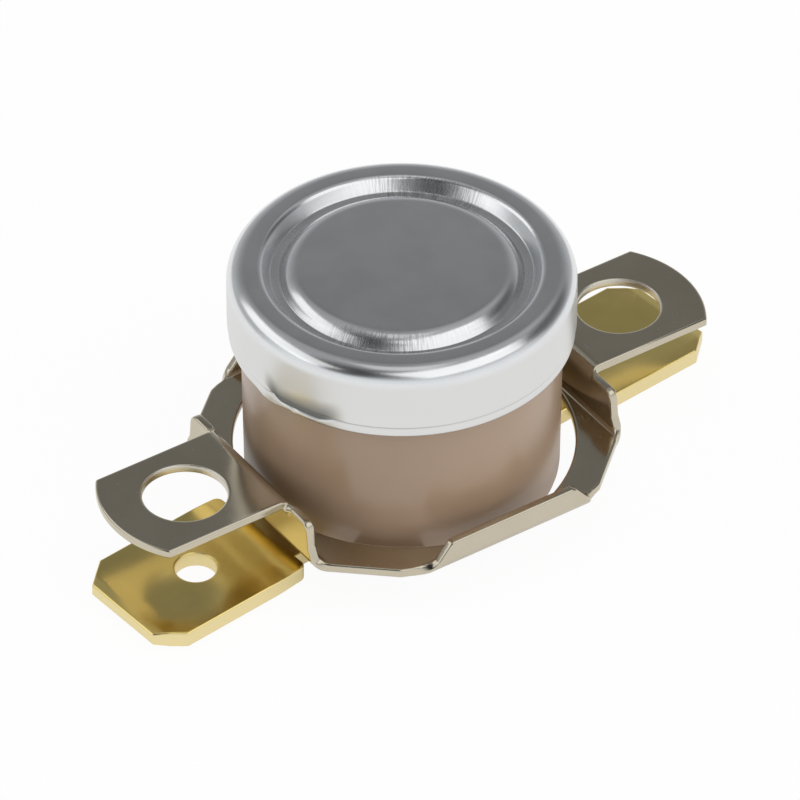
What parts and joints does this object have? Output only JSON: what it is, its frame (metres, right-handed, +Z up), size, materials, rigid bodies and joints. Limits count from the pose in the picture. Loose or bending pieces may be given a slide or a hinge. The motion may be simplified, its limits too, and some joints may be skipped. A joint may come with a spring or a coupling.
{
  "type": "bimetal thermostat",
  "caption": "round snap disc thermostat with a metal sensing cap, brown moulded base, loose two-ear mounting bracket and two flat tab terminals",
  "frame": {"origin": "on the cap's axis, at the level of the rivet heads the thermostat stands on", "axes": "+Z up the cap's axis towards the sensing face, X along the two terminals, Y across them"},
  "size_m": [0.0328, 0.018, 0.0126],
  "materials": {
    "cap_aluminium": "satin drawn aluminium",
    "brown_moulding": "smooth brown moulding",
    "nickel_plated_steel": "bright nickel plate",
    "terminal_brass": "bright rolled brass",
    "rivet_brass": "plain brass",
    "bimetal": "rolled bimetal sheet",
    "dark_moulding": "matte dark moulding",
    "white_ceramic": "unglazed white ceramic",
    "spring_bronze": "rolled spring bronze",
    "contact_silver": "smooth silver"
  },
  "bodies": {
    "housing": {"base_housing": "brown_moulding", "sensing_cap": "cap_aluminium", "bimetal_disc": "bimetal", "disc_guide": "dark_moulding", "terminal_left": "terminal_brass", "terminal_right": "terminal_brass", "rivet_left": "rivet_brass", "rivet_right": "rivet_brass", "fixed_contact_strip": "terminal_brass", "fixed_contact": "contact_silver", "contact_arm": "spring_bronze"},
    "bracket": {"mounting_bracket": "nickel_plated_steel"},
    "pin": {"transfer_pin": "white_ceramic"},
    "contact": {"moving_contact": "contact_silver"}
  },
  "joints": [
    {"name": "bracket_slide", "type": "slide", "parent": "housing", "child": "bracket", "axis": [0, 0, 1], "range_m": [0, 0.0062]},
    {"name": "pin_travel", "type": "slide", "parent": "housing", "child": "pin", "axis": [0, 0, -1], "range_m": [0, 0.0004], "stiffness_N_per_m": 100, "springref_m": -0.002},
    {"name": "contact_travel", "type": "slide", "parent": "housing", "child": "contact", "axis": [0, 0, -1], "range_m": [0, 0.0009], "deforming": ["contact_arm"]}
  ],
  "couplings": [
    {"joint": "contact_travel", "follows": "pin_travel", "ratio": 2.0526}
  ]
}
